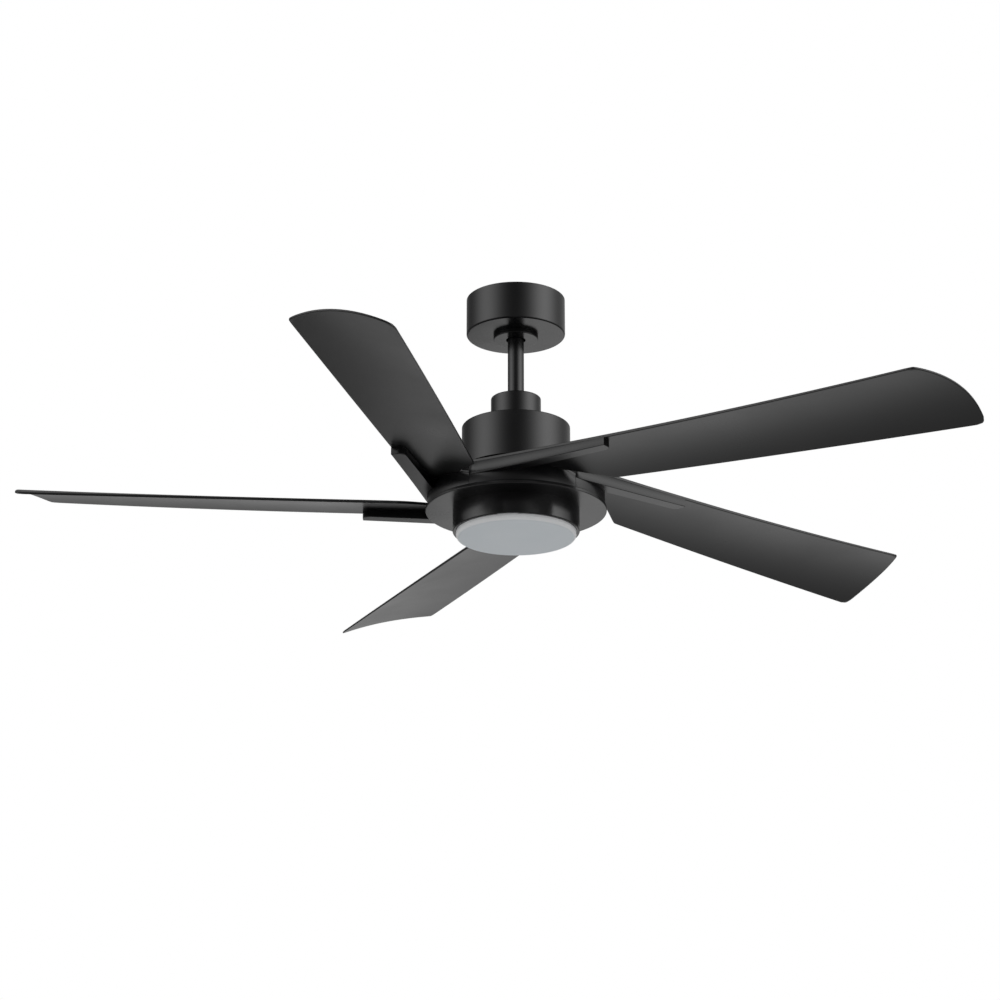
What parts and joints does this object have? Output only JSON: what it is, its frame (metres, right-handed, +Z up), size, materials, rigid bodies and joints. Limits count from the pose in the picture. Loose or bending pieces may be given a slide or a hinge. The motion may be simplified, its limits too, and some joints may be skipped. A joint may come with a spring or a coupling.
{
  "type": "ceiling fan with light",
  "caption": "Ceiling fan with a downrod, a motor housing, pitched moulded blades over a round pan, and a flush round light with a frosted lens.",
  "frame": {"origin": "centre of the hanger bracket's ceiling face, on the fan's axis", "axes": "+Z up, out of the ceiling face; +X along the bracket's long side; the blades turn about Z"},
  "size_m": [1.2207, 1.2627, 0.3382],
  "materials": {
    "black_paint": "satin black",
    "blade_plastic": "satin black moulded",
    "zinc_steel": "zinc plated",
    "cast_aluminium": "die cast",
    "bearing_steel": "ground",
    "lamination": "stacked sheet",
    "copper": "enamelled wire",
    "magnet": "ferrite",
    "case_plastic": "moulded",
    "terminal_plastic": "moulded",
    "ball_nylon": "moulded",
    "wire_sleeve": "insulated",
    "board": "white solder mask",
    "led": "phosphor",
    "frosted_lens": "frosted acrylic"
  },
  "bodies": {
    "ceiling": {"hanger_bracket": "zinc_steel", "receiver": "case_plastic", "terminal_block": "terminal_plastic", "terminal_screws": "zinc_steel", "canopy": "black_paint", "canopy_screws": "zinc_steel", "canopy_ring": "black_paint"},
    "ball": {"hanger_ball": "ball_nylon"},
    "hanging": {"ball_pin": "zinc_steel", "downrod": "black_paint", "wire_loom": "wire_sleeve", "yoke": "cast_aluminium", "yoke_set_screws": "zinc_steel", "clevis_pin": "zinc_steel", "hairpin": "zinc_steel", "motor_housing": "black_paint", "motor_closing_ring": "black_paint", "motor_plate": "zinc_steel", "yoke_screws": "zinc_steel", "motor_shaft": "zinc_steel", "stator_core": "lamination", "stator_windings": "copper", "upper_bearing_inner_race": "bearing_steel", "lower_bearing_inner_race": "bearing_steel", "light_bracket": "zinc_steel", "shaft_nuts": "zinc_steel", "pan": "black_paint", "light_housing": "black_paint", "light_screws": "zinc_steel", "led_board": "board", "led_standoffs": "zinc_steel", "led_screws": "zinc_steel", "leds": "led", "led_driver": "case_plastic"},
    "cover": {"coupling_cover": "black_paint"},
    "rotor": {"rotor_top_cover": "cast_aluminium", "rotor_bottom_cover": "cast_aluminium", "rotor_ring": "zinc_steel", "rotor_screws": "zinc_steel", "rotor_magnets": "magnet", "blade_carrier": "black_paint", "carrier_screws": "zinc_steel", "blade_screws": "zinc_steel", "upper_bearing_outer_race": "bearing_steel", "upper_bearing_balls": "bearing_steel", "lower_bearing_outer_race": "bearing_steel", "lower_bearing_balls": "bearing_steel", "blade_1": "blade_plastic", "blade_2": "blade_plastic", "blade_3": "blade_plastic", "blade_4": "blade_plastic", "blade_5": "blade_plastic"},
    "lens": {"lens": "frosted_lens"}
  },
  "joints": [
    {"name": "ball_swing", "type": "hinge", "parent": "ceiling", "child": "ball", "pos_m": [0, 0, -0.026], "axis": [1, 0, 0], "range_deg": [-2, 2]},
    {"name": "rod_swing", "type": "hinge", "parent": "ball", "child": "hanging", "pos_m": [0, 0, -0.026], "axis": [0, 1, 0], "range_deg": [-2, 2]},
    {"name": "cover_slide", "type": "slide", "parent": "hanging", "child": "cover", "axis": [0, 0, 1], "range_m": [0, 0.07]},
    {"name": "blade_spin", "type": "hinge", "parent": "hanging", "child": "rotor", "pos_m": [0, 0, -0.217], "axis": [0, 0, 1], "continuous": true},
    {"name": "lens_twist", "type": "hinge", "parent": "hanging", "child": "lens", "pos_m": [0, 0, -0.33], "axis": [0, 0, 1], "range_deg": [0, 22]}
  ]
}
